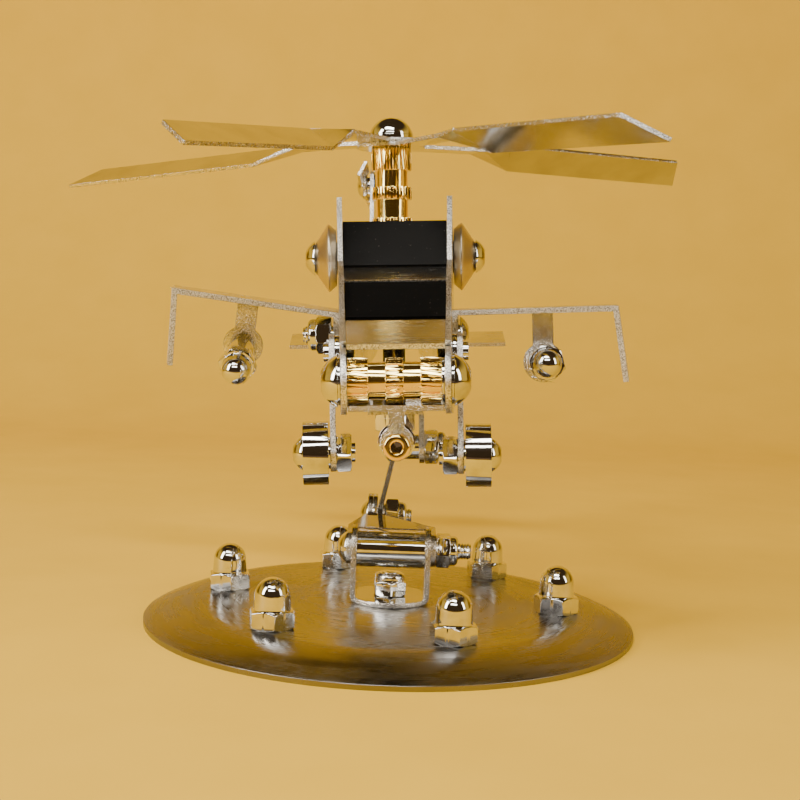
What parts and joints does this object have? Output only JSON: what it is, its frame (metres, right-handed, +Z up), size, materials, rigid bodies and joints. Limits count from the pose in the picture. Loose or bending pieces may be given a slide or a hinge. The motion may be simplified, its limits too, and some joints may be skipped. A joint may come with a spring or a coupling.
{
  "type": "helicopter scale model",
  "caption": "Sheet-metal desk model of a gunship helicopter, held together by screws and brass sleeves, tilting on a round brushed-steel stand.",
  "frame": {"origin": "centre of the model's footprint on the table", "axes": "+Z up, -Y the way the helicopter's nose points, +X to the right when the nose is seen head on"},
  "size_m": [0.1196, 0.1512, 0.0898],
  "materials": {
    "bright_steel": "polished stainless steel fasteners",
    "brushed_steel": "brushed and laser-cut stainless sheet",
    "mirror_steel": "mirror-finished stainless sheet",
    "brass": "polished, straight knurled",
    "black_gloss": "glossy black"
  },
  "bodies": {
    "base": {"base_disc": "brushed_steel", "base_screws": "bright_steel", "acorn_nuts": "bright_steel", "swivel_screw": "bright_steel", "swivel_lock_nut": "bright_steel"},
    "bracket": {"stand_bracket": "mirror_steel", "tilt_tube": "bright_steel", "tilt_bolt": "bright_steel", "tilt_lock_nut": "bright_steel"},
    "arm": {"stand_arm": "mirror_steel", "arm_bolt": "bright_steel", "arm_washers": "bright_steel", "arm_lock_nut": "bright_steel"},
    "strut": {"strut": "mirror_steel"},
    "fuselage": {"nose_screws": "bright_steel", "gun_screw": "bright_steel", "belly_bolt": "bright_steel", "belly_spacer": "bright_steel", "fuselage_lock_nuts": "bright_steel", "mast_screw": "bright_steel", "mast_nut": "bright_steel", "rotor_washer": "bright_steel", "engine_screws": "bright_steel", "plain_nuts": "bright_steel", "wing_bolt": "bright_steel", "pod_tubes": "bright_steel", "pod_screws": "bright_steel", "pod_acorn_nuts": "bright_steel", "gear_screws": "bright_steel", "side_washers": "bright_steel", "axle_screws": "bright_steel", "bearing_inner_races": "bright_steel", "tail_spacer": "bright_steel", "tail_screws": "bright_steel", "side_plate_left": "brushed_steel", "side_plate_right": "brushed_steel", "belly_plate": "brushed_steel", "roof_plate": "brushed_steel", "nose_deck": "brushed_steel", "cockpit_roof": "brushed_steel", "belly_bracket": "brushed_steel", "engine_cowls": "brushed_steel", "gear_legs": "brushed_steel", "stabilizer": "brushed_steel", "wing_left": "brushed_steel", "wing_right": "brushed_steel", "gun_bracket": "mirror_steel", "pod_hangers": "mirror_steel", "nose_sleeve": "brass", "gun_barrel": "brass", "mast_sleeve": "brass", "windscreen_lower": "black_gloss", "windscreen_upper": "black_gloss"},
    "wheel_left": {"wheel_left": "bright_steel", "bearing_balls_left": "bright_steel"},
    "wheel_right": {"wheel_right": "bright_steel", "bearing_balls_right": "bright_steel"},
    "rotor": {"rotor_blades_left": "brushed_steel", "rotor_blades_right": "brushed_steel"},
    "tail_rotor": {"tail_rotor": "brushed_steel"}
  },
  "joints": [
    {"name": "stand_swivel", "type": "hinge", "parent": "base", "child": "bracket", "pos_m": [0.00545, -0.01402, 0.0043], "axis": [0, 0, 1], "continuous": true},
    {"name": "arm_tilt", "type": "hinge", "parent": "bracket", "child": "arm", "pos_m": [0.00545, -0.01402, 0.0132], "axis": [1, 0, 0], "range_deg": [-6, 10]},
    {"name": "strut_tilt", "type": "hinge", "parent": "arm", "child": "strut", "pos_m": [0.00545, 0.00044, 0.01681], "axis": [1, 0, 0], "range_deg": [-5, 5]},
    {"name": "fuselage_pitch", "type": "hinge", "parent": "strut", "child": "fuselage", "pos_m": [0.00578, -0.01102, 0.03131], "axis": [0.9987, 0, 0.0506], "range_deg": [-10, 8]},
    {"name": "main_rotor_spin", "type": "hinge", "parent": "fuselage", "child": "rotor", "pos_m": [0.00281, -0.01402, 0.08518], "axis": [-0.0506, 0, 0.9987], "continuous": true},
    {"name": "tail_rotor_spin", "type": "hinge", "parent": "fuselage", "child": "tail_rotor", "pos_m": [-0.0037, 0.06656, 0.0838], "axis": [-0.9967, 0.0638, -0.0505], "continuous": true},
    {"name": "wheel_left_spin", "type": "hinge", "parent": "fuselage", "child": "wheel_left", "pos_m": [-0.00692, -0.04421, 0.03372], "axis": [-0.9975, -0.0494, -0.0505], "continuous": true},
    {"name": "wheel_right_spin", "type": "hinge", "parent": "fuselage", "child": "wheel_right", "pos_m": [0.01861, -0.04421, 0.03436], "axis": [0.9975, -0.0494, 0.0505], "continuous": true}
  ]
}
